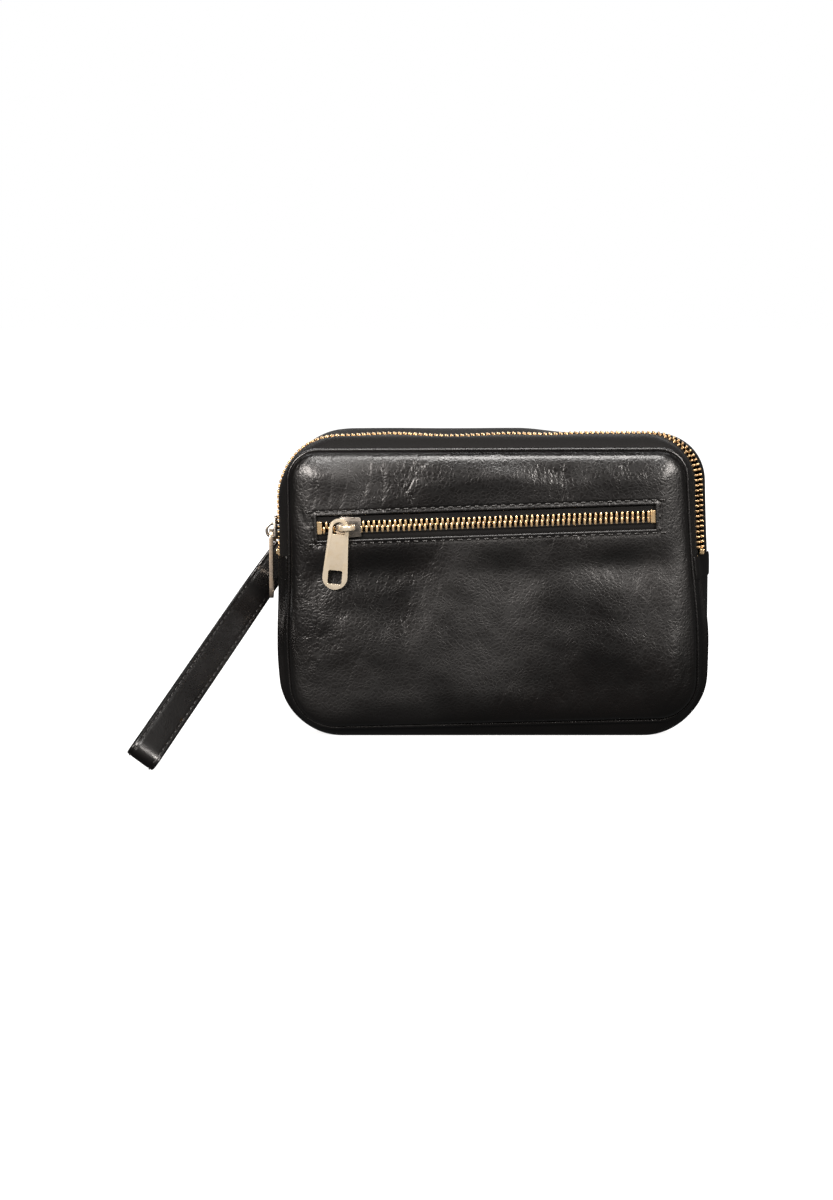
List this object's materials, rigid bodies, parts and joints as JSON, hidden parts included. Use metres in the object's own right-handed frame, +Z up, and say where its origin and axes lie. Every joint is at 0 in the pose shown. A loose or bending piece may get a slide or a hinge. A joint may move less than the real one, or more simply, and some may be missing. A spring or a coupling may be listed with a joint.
{
  "type": "makeup bag",
  "caption": "Flat leather makeup bag with a zip over the top, a zipped front pocket and a wrist strap loop",
  "frame": {"origin": "centre of the flat base that the bag stands on", "axes": "+X to the right of the front panel, +Y to the back panel, +Z up"},
  "size_m": [0.2841, 0.1156, 0.1542],
  "materials": {
    "black_leather": "semi-gloss, soft grain and fine creases",
    "zip_tape": "fine woven, matt",
    "brass_teeth": "polished",
    "nickel": "satin die-cast",
    "pale_gold": "brushed light gold plate",
    "lining_cloth": "plain weave, matt",
    "thread": "waxed thread"
  },
  "bodies": {
    "bag": {"front_panel": "black_leather", "back_panel": "black_leather", "lower_gusset": "black_leather", "front_piping": "black_leather", "back_piping": "black_leather", "front_tape": "zip_tape", "back_tape": "zip_tape", "front_teeth": "brass_teeth", "back_teeth": "brass_teeth", "zip_stops": "brass_teeth", "left_end_tab": "black_leather", "right_end_tab": "black_leather", "front_lining": "lining_cloth", "back_lining": "lining_cloth", "gusset_lining": "lining_cloth", "pocket_tape_upper": "zip_tape", "pocket_tape_lower": "zip_tape", "pocket_teeth_upper": "brass_teeth", "pocket_teeth_lower": "brass_teeth", "pocket_stops": "brass_teeth", "pocket_pouch": "lining_cloth", "window_stitching": "thread", "strap_sewn_end": "black_leather"},
    "main_slider": {"main_slider": "nickel", "main_bail": "nickel"},
    "main_puller": {"main_puller": "pale_gold"},
    "pocket_slider": {"pocket_slider": "nickel", "pocket_bail": "pale_gold"},
    "pocket_puller": {"pocket_puller": "pale_gold"},
    "strap": {"strap_outer": "black_leather", "strap_inner": "black_leather", "strap_stitching": "thread"}
  },
  "joints": [
    {"name": "main_slider_travel", "type": "slide", "parent": "bag", "child": "main_slider", "axis": [0, 0, 1], "range_m": [-0.0035, 0.0085]},
    {"name": "main_puller_flip", "type": "hinge", "parent": "main_slider", "child": "main_puller", "pos_m": [-0.11225, 0, 0.1043], "axis": [0, 1, 0], "range_deg": [0, 140]},
    {"name": "pocket_slider_travel", "type": "slide", "parent": "bag", "child": "pocket_slider", "axis": [0.9994, 0, 0.0349], "range_m": [-0.006, 0.143]},
    {"name": "pocket_puller_swing", "type": "hinge", "parent": "pocket_slider", "child": "pocket_puller", "pos_m": [-0.07731, -0.0244, 0.10846], "axis": [0, 1, 0], "range_deg": [-18, 140]},
    {"name": "strap_swing", "type": "hinge", "parent": "bag", "child": "strap", "pos_m": [-0.1177, 0.0173, 0.0754], "axis": [0, 0, -1], "range_deg": [0, 110]}
  ]
}
